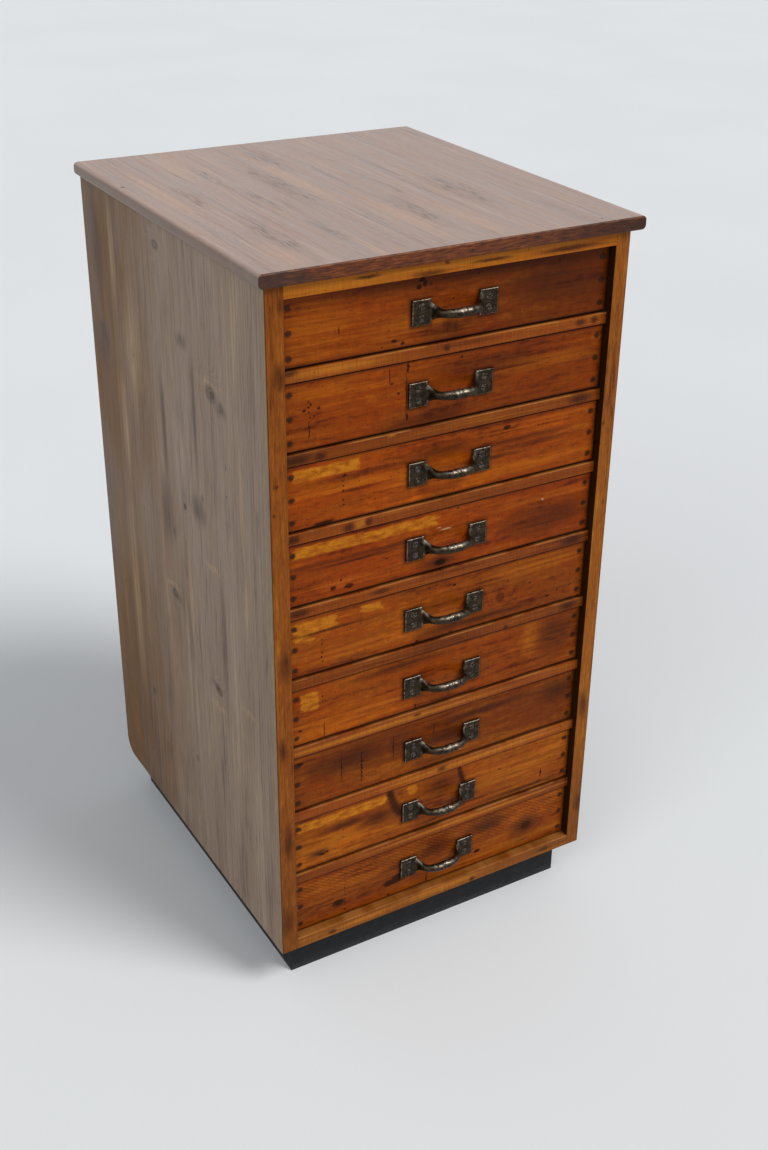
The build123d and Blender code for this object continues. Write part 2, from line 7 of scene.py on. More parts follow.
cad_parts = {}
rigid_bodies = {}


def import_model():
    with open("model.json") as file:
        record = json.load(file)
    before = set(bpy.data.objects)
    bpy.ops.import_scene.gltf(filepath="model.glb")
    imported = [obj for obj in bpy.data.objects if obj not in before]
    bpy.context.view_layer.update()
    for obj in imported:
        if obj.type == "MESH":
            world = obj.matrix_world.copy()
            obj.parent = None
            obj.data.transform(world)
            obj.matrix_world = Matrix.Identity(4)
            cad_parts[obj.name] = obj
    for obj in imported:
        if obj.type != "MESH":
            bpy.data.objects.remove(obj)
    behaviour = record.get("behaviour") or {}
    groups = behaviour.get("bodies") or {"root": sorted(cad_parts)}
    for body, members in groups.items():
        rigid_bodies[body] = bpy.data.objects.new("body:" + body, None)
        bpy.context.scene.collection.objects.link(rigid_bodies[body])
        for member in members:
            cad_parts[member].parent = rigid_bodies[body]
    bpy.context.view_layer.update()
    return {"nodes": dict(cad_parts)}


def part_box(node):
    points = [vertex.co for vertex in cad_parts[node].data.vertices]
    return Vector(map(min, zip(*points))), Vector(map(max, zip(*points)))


# Looks of the seed storage cabinet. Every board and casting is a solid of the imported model, and this
# script gives each one its surface: stained and varnished pine, bare pine, black paint and cast iron.
# It adds no piece but the floor. Blender's own first objects go before the model comes in.
for leftover in list(bpy.data.objects):
    bpy.data.objects.remove(leftover)
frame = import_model()
NODES = frame["nodes"]
DRAWERS = range(1, 10)
DRAWER_PITCH = 98.444  # from one drawer to the next, in millimetres
MM = 1000  # millimetres in a metre
HALF_MM = 500  # half the sum of two places in metres, in millimetres


# ---------------------------------------------------------------- shader graphs
def linear(code):
    """A colour written as in #7a3c12, as the renderer wants it."""
    values = [int(code[i:i + 2], 16) / 255 for i in (1, 3, 5)]
    return [v / 12.92 if v <= 0.04045 else ((v + 0.055) / 1.055) ** 2.4 for v in values] + [1.0]


class Wire:
    """A value inside a shader graph, which can be written into sums."""

    def __init__(self, graph, socket):
        self.graph, self.socket = graph, socket

    def __add__(self, other):
        return self.graph.math("ADD", self, other)

    def __sub__(self, other):
        return self.graph.math("SUBTRACT", self, other)

    def __rsub__(self, other):
        return self.graph.math("SUBTRACT", other, self)

    def __mul__(self, other):
        return self.graph.math("MULTIPLY", self, other)

    def __truediv__(self, other):
        return self.graph.math("DIVIDE", self, other)

    __radd__ = __add__


class Graph:
    """A material whose pattern is worked out from the place on the piece, in millimetres."""

    def __init__(self, name):
        self.material = bpy.data.materials.new(name)
        self.material.use_nodes = True
        self.tree = self.material.node_tree
        self.tree.nodes.clear()
        output = self.tree.nodes.new("ShaderNodeOutputMaterial")
        self.shader = self.tree.nodes.new("ShaderNodeBsdfPrincipled")
        self.tree.links.new(self.shader.outputs[0], output.inputs[0])
        metres = self.tree.nodes.new("ShaderNodeTexCoord").outputs["Object"]
        self.x, self.y, self.z = (axis * MM for axis in self.split(metres))
        self.planes = {}

    def put(self, socket, value):
        if isinstance(value, Wire):
            self.tree.links.new(value.socket, socket)
        elif isinstance(value, str):
            socket.default_value = linear(value)
        else:
            socket.default_value = value

    def split(self, vector):
        node = self.tree.nodes.new("ShaderNodeSeparateXYZ")
        self.tree.links.new(vector, node.inputs[0])
        return [Wire(self, out) for out in node.outputs]

    def vector(self, x, y, z):
        node = self.tree.nodes.new("ShaderNodeCombineXYZ")
        for socket, value in zip(node.inputs, (x, y, z)):
            self.put(socket, value)
        return Wire(self, node.outputs[0])

    def plane(self, a, b):
        """Place on a face as one vector, made once for each pair."""
        if (a, b) not in self.planes:
            self.planes[a, b] = self.vector(a, b, 0.0)
        return self.planes[a, b]

    def vector_math(self, operation, *values):
        node = self.tree.nodes.new("ShaderNodeVectorMath")
        node.operation = operation
        for socket, value in zip(node.inputs, values):
            self.put(socket, value)
        return Wire(self, node.outputs["Value" if operation == "LENGTH" else "Vector"])

    def math(self, operation, *values):
        node = self.tree.nodes.new("ShaderNodeMath")
        node.operation = operation
        for socket, value in zip(node.inputs, values):
            self.put(socket, value)
        return Wire(self, node.outputs[0])

    def noise(self, x, y, z, seed=0.0, detail=3.0, roughness=0.55, distortion=0.0):
        """Soft noise from 0 to 1, of about one wave per unit of x, y and z."""
        node = self.tree.nodes.new("ShaderNodeTexNoise")
        node.noise_dimensions = "4D"
        self.put(node.inputs["Vector"], self.vector(x, y, z))
        self.put(node.inputs["W"], seed)
        for key, value in (("Scale", 1.0), ("Detail", detail), ("Roughness", roughness),
                           ("Distortion", distortion)):
            node.inputs[key].default_value = value
        return Wire(self, node.outputs["Fac"])

    def dots(self, x, y, z, scatter=1.0):
        """Distance to the nearest of many scattered points, about one per unit, and a value of each."""
        node = self.tree.nodes.new("ShaderNodeTexVoronoi")
        self.put(node.inputs["Vector"], self.vector(x, y, z))
        node.inputs["Scale"].default_value = 1.0
        node.inputs["Randomness"].default_value = scatter
        return Wire(self, node.outputs["Distance"]), self.split(node.outputs["Color"])[0]

    def step(self, value, low, high, start=0.0, end=1.0):
        """Goes smoothly from start to end as the value goes from low to high."""
        node = self.tree.nodes.new("ShaderNodeMapRange")
        node.interpolation_type = "SMOOTHSTEP"
        for key, number in (("Value", value), ("From Min", low), ("From Max", high),
                            ("To Min", start), ("To Max", end)):
            self.put(node.inputs[key], number)
        return Wire(self, node.outputs["Result"])

    def mix(self, share, first, second, blend="MIX"):
        node = self.tree.nodes.new("ShaderNodeMix")
        node.data_type = "RGBA"
        node.blend_type = blend
        node.clamp_factor = True
        for index, value in ((0, share), (6, first), (7, second)):
            self.put(node.inputs[index], value)
        return Wire(self, node.outputs[2])

    def shade(self, colour, amount):
        """The colour made darker or brighter: 1 leaves it as it is."""
        return self.mix(1.0, colour, self.vector(amount, amount, amount), "MULTIPLY")

    def tones(self, value, dark, tone, bright):
        """Colour of a value that goes from about -2 to 2."""
        colour = self.mix(self.step(value, -1.8, 0.0), dark, tone)
        return self.mix(self.step(value, 0.0, 1.8), colour, bright)

    def facing(self):
        """The three parts of the surface's own normal."""
        node = self.tree.nodes.new("ShaderNodeTexCoord")
        return self.split(node.outputs["Normal"])

    def most(self, masks):
        """The strongest of several masks."""
        result = masks[0]
        for mask in masks[1:]:
            result = self.math("MAXIMUM", result, mask)
        return result

    def finish(self, colour, roughness, height, depth_mm=0.3, specular=0.5, metallic=0.0):
        self.put(self.shader.inputs["Base Color"], colour)
        self.put(self.shader.inputs["Roughness"], roughness)
        self.put(self.shader.inputs["Metallic"], metallic)
        self.shader.inputs["Specular IOR Level"].default_value = specular
        bump = self.tree.nodes.new("ShaderNodeBump")
        bump.inputs["Strength"].default_value = 1.0
        bump.inputs["Distance"].default_value = depth_mm / MM
        self.put(bump.inputs["Height"], height)
        self.tree.links.new(bump.outputs[0], self.shader.inputs["Normal"])
        return self.material


def wood_tones(code):
    """Dark, middle and bright colour of stained wood whose middle colour is given."""
    red, green, blue, _ = linear(code)
    return ([red * 0.42, green * 0.34, blue * 0.7, 1.0], [red, green, blue, 1.0],
            [red * 1.55, green * 1.95, blue * 1.9, 1.0])


def dress(node_name, material):
    """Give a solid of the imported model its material."""
    mesh = NODES[node_name].data
    mesh.materials.clear()
    mesh.materials.append(material)


# ---------------------------------------------------------------- marks on a face
# a and b are the place on the face, in millimetres. Each mark is 1 inside and 0 outside.
def spot(g, a, b, place, size, soft=0.35):
    """Round or oval mark."""
    near = g.vector_math("MULTIPLY_ADD", g.plane(a, b), (1 / size[0], 1 / size[1], 0),
                         (-place[0] / size[0], -place[1] / size[1], 0))
    return g.step(g.vector_math("LENGTH", near), 1 + soft, 1 - soft)


def patch(g, a, b, low, high, soft=2.0):
    """Mark with straight sides."""
    middle = ((low[0] + high[0]) / 2, (low[1] + high[1]) / 2, 0)
    half = ((high[0] - low[0]) / 2, (high[1] - low[1]) / 2, 0)
    beyond = g.vector_math("ABSOLUTE", g.vector_math("SUBTRACT", g.plane(a, b), middle))
    across, up, _ = g.split(g.vector_math("SUBTRACT", beyond, half).socket)
    return g.step(g.math("MAXIMUM", across, up), soft, -soft)


def hole_row(g, a, b, line, low, high, seed, pitch=6.0):
    """Row of small holes along b, some of them missing."""
    level = g.math("FLOOR", b / pitch)
    rough = g.noise(level * 3.7, 0.0, 0.0, seed, 0.0)
    along = b / pitch - level - 0.5
    across = a - line - (rough - 0.5) * 5
    away = g.math("SQRT", across * across + along * along * (pitch * pitch))
    there = g.step(rough, 0.38, 0.44)
    return g.step(away, 1.6, 0.7) * there * patch(g, a, b, (line - 5, low), (line + 5, high), 0.5)


# ---------------------------------------------------------------- wood
def grain(g, u, v, w, seed, spacing, heart, slope=0.0, wander=9.0, knots=()):
    """Year rings from 0 to 1, and streaks, fibres and clouds from about -1 to 1, of a board. u runs
    along the fibres, v and w across them, all in millimetres; heart is where the middle of the tree
    lies in v and w. Knots are given as place and half size in u and v, and come back as one mask."""
    wobble = (g.noise(u / 260, v / 70, w / 70, seed, 2.0) - 0.5) * (2 * wander)
    waver = (g.noise(u / 90, v / 30, w / 30, seed + 3.1, 2.0) - 0.5) * (0.5 * wander)
    across = v - heart[0] + u * slope + wobble + waver
    deep = w - heart[1] + (g.noise(u / 300, v / 90, w / 90, seed + 7.7, 2.0) - 0.5) * (2 * wander)
    radius = g.math("SQRT", across * across + deep * deep)
    core = None
    for place, size in knots:
        along = (u - place[0]) / size[0]
        beside = (v - place[1]) / size[1]
        away = along * along + beside * beside
        radius = radius + g.math("EXPONENT", away * -0.5) * (size[1] * 1.6)
        inside = g.step(g.math("SQRT", away), 1.0, 0.5)
        core = inside if core is None else g.math("MAXIMUM", core, inside)
    phase = radius / spacing + g.noise(u / 40, v / 2.5, w / 2.5, seed + 1.3, 2.0) * 0.35
    year = g.math("FRACT", phase)
    rings = g.math("POWER", year, 2.2) * g.step(year, 1.0, 0.86)
    streaks = (g.noise(u / 190, v / 4.2, w / 4.2, seed + 11.0, 4.0, 0.6) - 0.5) * 8
    fibres = (g.noise(u / 26, v / 0.7, w / 0.7, seed + 17.0, 3.0, 0.6) - 0.5) * 6
    clouds = (g.noise(u / 170, v / 55, w / 55, seed + 23.0, 3.0, 0.5) - 0.5) * 8
    return rings, streaks, fibres, clouds, core


# ---------------------------------------------------------------- drawer fronts
FRONT_MIDDLE_X = (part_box("drawer_1_front")[0].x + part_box("drawer_1_front")[1].x) * HALF_MM
FRONT_HALF_W = (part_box("drawer_1_front")[1].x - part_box("drawer_1_front")[0].x) * HALF_MM
NAIL_FROM_MIDDLE = 208.7
NAIL_LEVELS = (-29.7, -1.2, 27.2)

# Each front has a middle colour, how dark its right end is, and marks placed from the middle of its face.
FRONTS = {
    1: dict(
        seed=2.0, tone="#783505", right=0.62, heart=(60, 70), slope=0.01, spacing=3.4,
        dark=[((-42, 35), (4, 3)), ((-46, 27), (3.4, 3)), ((-38, 30), (2.6, 3.4)), ((-30, 28), (1.5, 1.4)),
              ((-14, 33), (1.2, 1)), ((33, 31), (1.4, 1)), ((145, 32), (1.4, 1.4)), ((0, 7), (1.2, 1.2)),
              ((-77, -31), (4, 2)), ((-66, -35), (2.5, 2)), ((-93, -36), (1, 1)), ((-147, -7), (0.7, 6))],
        stain=[((-6, -23), (7, 6)), ((4, -26), (3, 7)), ((40, 36), (180, 9)), ((150, 10), (70, 24))],
        bright=[((-180, -4), (46, 30)), ((-60, -18), (70, 14)), ((14, -28), (10, 4))],
        rows=[],
    ),
    2: dict(
        seed=9.0, tone="#7c3705", right=0.84, heart=(-90, 40), slope=-0.02, spacing=3.8,
        dark=[((-82, 27), (0.6, 10)), ((-58, 33), (1.6, 6)), ((-191, 6), (2.4, 2)), ((-173, 6), (2, 1.6)),
              ((-70, 4), (2, 1.6)), ((-59, -27), (1.6, 5)), ((14, 34), (2, 1.6)), ((-80, 17), (3, 1)),
              ((-185, -20), (0.7, 9)), ((-60, 3), (0.7, 26)), ((-183, 12), (1.6, 1.6)),
              ((-178, -2), (1.3, 1.3))],
        stain=[((60, 18), (60, 12)), ((-30, -33), (60, 6))],
        bright=[((-197, 28), (18, 9)), ((-150, 26), (60, 9)), ((208, 26), (6, 6)), ((120, 8), (60, 8))],
        rows=[(-185, -30, 18)],
    ),
    3: dict(
        seed=16.0, tone="#893e05", right=0.95, heart=(30, 55), slope=0.005, spacing=3.2,
        dark=[((-140, 16), (1.6, 2)), ((83, 30), (5, 2.6)), ((-168, -38), (14, 2.4)),
              ((130, 24), (1.2, 1.2))],
        stain=[((100, 12), (70, 4)), ((120, 3), (60, 3.4)), ((60, -5), (44, 3)), ((-90, 14), (80, 3)),
               ((-10, 20), (40, 8))],
        bright=[((94, -24), (110, 6)), ((150, 26), (50, 6)), ((-120, 2), (90, 6)), ((-70, -14), (60, 5))],
        rows=[(-142, -24, 20)],
        yellow=[((-206, 20), (-121, 34))],
        torn=3,
    ),
    4: dict(
        seed=23.0, tone="#813706", right=0.95, heart=(-50, 90), slope=0.0, spacing=3.0,
        dark=[((-156, -29), (4, 2.6)), ((-135, -31), (6, 3.6)), ((-146, -21), (1.4, 1.4)),
              ((-83, -8), (1.4, 1.2)), ((-7, -32), (8, 4.4)), ((17, 36), (1.4, 1.4))],
        stain=[((-7, -30), (15, 8)), ((-120, 8), (90, 3)), ((-120, 2), (60, 2)), ((150, -8), (60, 20))],
        bright=[((-43, -22), (26, 6)), ((10, -27), (12, 4)), ((-150, -24), (40, 6)), ((150, 20), (60, 8))],
        rows=[],
        yellow=[((-209, 21), (-12, 35))],
        pale=[((143, 19), (1.6, 1.2)), ((0, 12), (8, 1.2)), ((-10, 16), (3, 0.8))],
    ),
    5: dict(
        seed=30.0, tone="#823e08", right=0.82, heart=(-30, 36), slope=0.03, spacing=4.0,
        dark=[((15, 28), (2.4, 1.4)), ((132, 0), (1.4, 1.2)), ((161, -27), (3, 2)), ((11, -38), (2, 1.2)),
              ((-38, -38), (3, 1.2)), ((97, 12), (1.4, 1.2)), ((176, -22), (1.2, 1.2))],
        stain=[((-160, 15), (50, 2)), ((60, -30), (80, 5))],
        bright=[((110, 24), (80, 8)), ((-100, -22), (90, 8))],
        rows=[(-172, -31, 12)],
        yellow=[((-212, 16), (-150, 33)), ((-116, 24), (-88, 35)), ((-208, 6), (-186, 18))],
        knots=[((86, -9), (9, 10))],
    ),
    6: dict(
        seed=37.0, tone="#853e06", right=0.82, heart=(70, 60), slope=-0.012, spacing=3.4,
        dark=[((-170, -30), (0.7, 13)), ((-38, -37), (1, 4)), ((-204, -20), (3, 1.2))],
        stain=[((180, 10), (30, 30)), ((-60, 30), (60, 6))],
        bright=[((139, 13), (12, 28)), ((-110, -20), (90, 10))],
        rows=[(-172, 6, 30)],
        yellow=[((-202, 6), (-178, 31))],
        torn=4,
    ),
    7: dict(
        seed=44.0, tone="#733506", right=0.76, heart=(-70, 30), slope=0.01, spacing=3.0,
        dark=[((-146, 4), (0.6, 22)), ((-117, -6), (0.9, 26)), ((-70, 8), (0.7, 16)), ((-9, 16), (0.7, 9)),
              ((-206, 29), (6, 3))],
        stain=[((-130, 14), (66, 20)), ((-60, 14), (26, 18)), ((189, 14), (26, 15)), ((60, 22), (90, 5)),
               ((10, 2), (34, 12))],
        bright=[((-101, -29), (20, 3)), ((67, -35), (60, 3)), ((-205, 6), (10, 14)), ((-10, -26), (60, 6))],
        rows=[(-116, -30, 20)],
    ),
    8: dict(
        seed=51.0, tone="#803f08", right=1.0, heart=(90, 50), slope=0.008, spacing=3.6,
        dark=[((-176, -25), (5, 1.6)), ((-168, -23), (3, 1.4)), ((100, 12), (1.6, 1.6)),
              ((171, -19), (1.2, 6))],
        burns=[((-74, 34), 5), ((-72, 28), 5.5), ((-70, 21), 6), ((-67, 14), 6), ((-64, 7), 6), ((-60, 0), 6),
               ((34, 37), 3.5), ((35, 31), 4), ((37, 25), 4), ((39, 19), 4.5), ((41, 12), 4.5)],
        stain=[((-93, 3), (26, 11)), ((-140, 10), (40, 6)), ((7, 20), (26, 14)), ((-40, -6), (10, 8)),
               ((140, -34), (70, 3)), ((-180, -22), (14, 5))],
        bright=[((-180, -10), (40, 10)), ((120, 4), (80, 14))],
        rows=[],
        yellow=[((-209, 20), (-80, 34)), ((-46, 21), (-33, 35))],
        torn=9,
    ),
    9: dict(
        seed=58.0, tone="#773806", right=1.0, heart=(-40, 80), slope=-0.01, spacing=3.6,
        dark=[((-152, -18), (9, 5)), ((-66, -17), (17, 5)), ((-58, -12), (12, 5)), ((-74, -20), (7, 3)),
              ((69, -19), (5, 3)), ((-14, -32), (1, 7)), ((-75, -37), (3, 1.4))],
        stain=[((85, 21), (30, 15)), ((0, 17), (22, 15)), ((-191, -21), (10, 3)), ((-108, -21), (10, 3)),
               ((-60, 6), (22, 6)), ((151, -5), (22, 16))],
        bright=[((-130, 4), (60, 16)), ((60, -30), (90, 5)), ((-180, 28), (40, 5)), ((130, -28), (60, 6))],
        rows=[(-142, -37, 28)],
        knots=[((151, -5), (11, 9))],
        saw_marks=True,
    ),
}


def front_material(number):
    look = FRONTS[number]
    low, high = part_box(f"drawer_{number}_front")
    middle_z = (low.z + high.z) * HALF_MM
    half_h = (high.z - low.z) * HALF_MM
    g = Graph(f"front_wood_{number}")
    a, b, seed = g.x - FRONT_MIDDLE_X, g.z - middle_z, look["seed"]
    rings, streaks, fibres, clouds, core = grain(
        g, a, b, g.y, seed, look["spacing"], look["heart"], look["slope"], knots=look.get("knots", ()))
    flames = (g.noise(a / 80, b / 7, g.y / 7, seed + 41, 4.0, 0.65) - 0.5) * 8
    mottle = (g.noise(a / 13, b / 6, g.y / 6, seed + 45, 3.0, 0.6) - 0.5) * 8
    value = clouds * 0.65 + flames * 0.5 + streaks * 0.35 + mottle * 0.42 + fibres * 0.3
    value = value - rings * 0.8 + 0.25
    dark, tone, bright = wood_tones(look["tone"])
    colour = g.tones(value, dark, tone, bright)
    # redder and yellower parts of the stain
    hue = g.noise(a / 80, b / 18, g.y / 18, seed + 43, 3.0, 0.6)
    colour = g.mix(g.step(hue, 0.4, 0.62), g.mix(1.0, colour, (1.06, 0.9, 0.7, 1.0), "MULTIPLY"), colour)
    colour = g.shade(colour, g.step(a + clouds * 30, -150.0, 150.0, 1.0, look["right"]))
    # uneven edges for every mark
    a = a + (g.noise(a / 7, b / 3, 0.0, seed + 5, 3.0) - 0.5) * 7
    b = b + (g.noise(a / 16, b / 3, 0.0, seed + 6, 3.0) - 0.5) * 4
    lit = g.most([spot(g, a, b, place, size, 0.9) for place, size in look["bright"]])
    colour = g.mix(lit * g.step(streaks + flames * 0.5, -1.4, 1.2) * 0.85, colour, bright)
    if "yellow" in look:
        torn = look.get("torn", 22)
        edge_a = a + (g.noise(a / 60, b / 5, 0.0, seed + 48, 2.0) - 0.5) * torn * 2
        edge_b = g.z - middle_z + (g.noise(a / 60, 0.0, 0.0, seed + 49, 3.0) - 0.5) * torn * 0.7
        bare = g.most([patch(g, edge_a, edge_b, *corners, 1.8) for corners in look["yellow"]])
        bare = bare * g.step(streaks + mottle * 0.5 + clouds * 0.4, -2.0, 0.2, 0.55, 1.0)
        colour = g.mix(bare * 0.9, colour, g.mix(g.step(fibres + mottle, -1.5, 1.5), "#96500a", "#b87216"))
    stained = g.most([spot(g, a, b, place, size, 0.9) for place, size in look["stain"]])
    colour = g.mix(stained * g.step(streaks + clouds, -1.6, 1.0, 0.4, 0.9), colour, "#3c1906")
    # grime along the edges, painted shade of the gaps along the top and bottom edges, grime and painted
    # shadow round the plates, and grime round the nails
    rim = g.math("MINIMUM", FRONT_HALF_W - g.math("ABSOLUTE", a), half_h - g.math("ABSOLUTE", b))
    grime_and_shade = g.step(rim, 5.0, 0.0) * g.step(clouds, -1.2, 1.2, 0.35, 0.85)
    # painted shade: dark strips along the top and bottom edges, where the gaps to the rails fall
    lines = g.math("ABSOLUTE", g.z - middle_z)
    grime_and_shade = g.math("MAXIMUM", grime_and_shade, g.step(lines, half_h - 2.6, half_h - 0.8))
    pull_low, pull_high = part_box(f"drawer_{number}_pull")
    pull_a = (pull_low.x + pull_high.x) * HALF_MM - FRONT_MIDDLE_X
    pull_b = (pull_low.z + pull_high.z) * HALF_MM - middle_z
    beside = g.math("ABSOLUTE", a - pull_a)
    plates = patch(g, beside, b, (31, pull_b - 17), (59, pull_b + 16), 5.0)
    nail_a = g.math("ABSOLUTE", a)
    nails = g.most([spot(g, nail_a, b, (NAIL_FROM_MIDDLE, level), (4.4, 4.0), 0.3)
                    for level in NAIL_LEVELS])
    turned = g.facing()[1]
    grime_and_shade = g.most([grime_and_shade, plates * 0.85, nails * 0.8]) * g.step(turned, -0.3, -0.8, 0.25, 0.88)
    colour = g.mix(grime_and_shade, colour, "#1f0c04")
    specks, pick = g.dots(a / 11, b / 8, seed)
    pits = g.step(specks, 0.13, 0.05) * g.step(pick, 0.72, 0.76)
    fleck = g.noise(a / 9, b / 1.6, g.y / 1.6, seed + 51, 3.0, 0.6)
    colour = g.mix(g.step(fleck, 0.58, 0.66) * 0.4, colour, "#2a1006")
    marks = [spot(g, a, b, place, size) for place, size in look["dark"]]
    marks += [hole_row(g, a, b, line, bottom, top, seed + 8) for line, bottom, top in look["rows"]]
    marks += [spot(g, a, b, place, (size, size * 1.3), 0.6) * 0.95
              for place, size in look.get("burns", ())]
    if core is not None:
        marks.append(core * 0.6)
    marks = g.most(marks)
    colour = g.mix(g.math("MAXIMUM", marks * 0.88, pits * 0.8), colour, "#1a0a05")
    if "pale" in look:
        chips = g.most([spot(g, a, b, place, size) for place, size in look["pale"]])
        colour = g.mix(chips * 0.6, colour, "#b99a72")
    # the inner face was never stained
    colour = g.mix(g.step(turned, 0.6, 0.9), colour, g.tones(value, "#6f4d2a", "#967144", "#b08c5c"))
    teeth = g.noise(a / 1.4, b / 40, 0.0, seed + 47, 3.0, 0.6)
    colour = g.shade(colour, g.step(teeth, 0.34, 0.66, 0.92, 1.06))
    relief = rings * -0.25 + fibres * 0.05 + streaks * 0.04
    if "saw_marks" in look:
        wave = g.math("SINE", (a * 0.55 + b * 0.95) * 1.3 + g.noise(a / 50, b / 30, 0.0, seed, 2.0) * 5)
        sawn = wave * g.step(b + clouds * 8, -12.0, 14.0)
        colour = g.shade(colour, sawn * 0.2 + 1.0)
        relief = relief + sawn * 0.25
    relief = relief - g.math("MAXIMUM", marks, pits) * 0.8
    scuffs = g.noise(a / 5, b / 60, 0.0, seed + 31, 4.0, 0.7)
    relief = relief - g.step(scuffs, 0.66, 0.72) * 0.35
    roughness = g.step(clouds + fibres * 0.3, -1.5, 1.5, 0.3, 0.46) + marks * 0.25
    return g.finish(colour, roughness, relief, depth_mm=0.35, specular=0.07)


for number in DRAWERS:
    dress(f"drawer_{number}_front", front_material(number))


# ---------------------------------------------------------------- rails and stiles
def level_rail_material(name, node_name, seed, tone, shades, marks, upper_edge, ledge_shade=0.6):
    """Level rail of the case. Several in one piece differ in grain and in shade, named from below."""
    low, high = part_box(node_name)
    g = Graph(name)
    number = g.math("FLOOR", (g.z - low.z * MM + 40) / DRAWER_PITCH)
    own = number * 4.3 + seed
    rings, streaks, fibres, clouds, _ = grain(g, g.x, g.z, g.y, own, 3.6, (30, 20), 0.006)
    value = clouds * 0.6 + streaks * 0.55 + fibres * 0.35 - rings * 0.7 + 0.2
    colour = g.tones(value, *wood_tones(tone))
    shade = shades[0]
    for index, amount in enumerate(shades[1:], 1):
        shade = shade + g.math("COMPARE", number, index, 0.5) * (amount - shades[0])
    colour = g.shade(colour, shade)
    a = g.x + (g.noise(g.x / 7, g.z / 3, 0.0, seed + 5, 3.0) - 0.5) * 8
    b = g.z + (g.noise(g.x / 9, g.z / 3, 0.0, seed + 6, 3.0) - 0.5) * 3
    for kind, hue in (("yellow", "#a8641a"), ("dark", "#260f06")):
        here = g.most([spot(g, a, b, place, size, 0.7) for place, size in marks[kind]])
        colour = g.mix(here * g.step(streaks + fibres * 0.5, -2.0, 1.0, 0.55, 0.85), colour, hue)
    teeth = g.noise(g.x / 1.8, g.z / 40, 0.0, own + 9, 3.0, 0.7)
    colour = g.shade(colour, g.step(teeth, 0.32, 0.68, 0.82, 1.12))
    specks, pick = g.dots(a / 9, b / 5, own)
    pits = g.step(specks, 0.16, 0.06) * g.step(pick, 0.74, 0.8)
    colour = g.mix(pits * 0.8, colour, "#200c05")
    # lighter along the upper edge: partly rubbed wear, partly a painted highlight where the rounded edge
    # catches the light
    height = g.z - low.z * MM - number * DRAWER_PITCH
    patchy = g.step(g.noise(g.x / 60, number * 3.1, 0.0, seed + 3), 0.42, 0.58)
    worn = g.step(height, upper_edge - 1.8, upper_edge - 0.3) * patchy
    colour = g.mix(worn * 0.5, colour, "#a87038")
    # painted shade on the ledge behind the upper edge, where the gap under the drawer falls
    ledge = g.step(g.facing()[2], 0.5, 0.9) * g.step(g.y, low.y * MM + 1.0, low.y * MM + 3.0)
    colour = g.mix(ledge * ledge_shade, colour, "#1a0b05")
    relief = rings * -0.25 + fibres * 0.05 + teeth * 0.4 - pits
    return g.finish(colour, g.step(clouds, -1.5, 1.5, 0.32, 0.5), relief, depth_mm=0.35, specular=0.09)


RAIL_SHADES = (0.86, 1.12, 1.0, 0.84, 0.98, 0.95, 0.84, 1.02)
RAIL_MARKS = {
    "dark": [((-12, 857), (4, 4)), ((177, 857), (7, 4)), ((198, 857), (5, 4)), ((-212, 861), (8, 4)),
             ((-206, 758), (20, 6)), ((-176, 757), (8, 5)), ((184, 758), (14, 5)), ((-140, 659), (7, 5)),
             ((-113, 660), (4, 5)), ((-212, 660), (8, 5)), ((-206, 562), (14, 5)), ((-95, 562), (12, 3)),
             ((190, 561), (16, 6)), ((92, 458), (3, 3)), ((192, 463), (13, 6)), ((-40, 365), (5, 2)),
             ((1, 266), (7, 4))],
    "yellow": [((-160, 858), (60, 4)), ((-83, 763), (5, 1.5)), ((-125, 660), (7, 5)), ((-80, 363), (150, 3)),
               ((60, 266), (120, 3)), ((60, 168), (150, 2))],
}
TOP_MARKS = {
    "dark": [((-120, 958), (14, 2)), ((40, 955), (26, 2)), ((-42, 951), (20, 3)), ((-20, 960), (3, 2)),
             ((150, 954), (40, 3))],
    "yellow": [((-160, 956), (70, 7)), ((20, 958), (60, 5)), ((120, 960), (50, 4))],
}
BOTTOM_MARKS = {
    "dark": [((-170, 66), (6, 3)), ((52, 64), (4, 3)), ((175, 68), (10, 3))],
    "yellow": [((0, 70), (60, 4)), ((-120, 68), (40, 3))],
}
dress("drawer_rails", level_rail_material(
    "rail_wood_middle", "drawer_rails", 70.0, "#7c3b0c", RAIL_SHADES, RAIL_MARKS, 14.0))
dress("top_rail", level_rail_material(
    "rail_wood_top", "top_rail", 81.0, "#9c560f", (1.0,), TOP_MARKS, 40.0))
dress("bottom_rail", level_rail_material(
    "rail_wood_bottom", "bottom_rail", 92.0, "#7a4314", (1.0,), BOTTOM_MARKS,
    (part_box("bottom_rail")[1].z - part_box("bottom_rail")[0].z) * MM, 0.15))


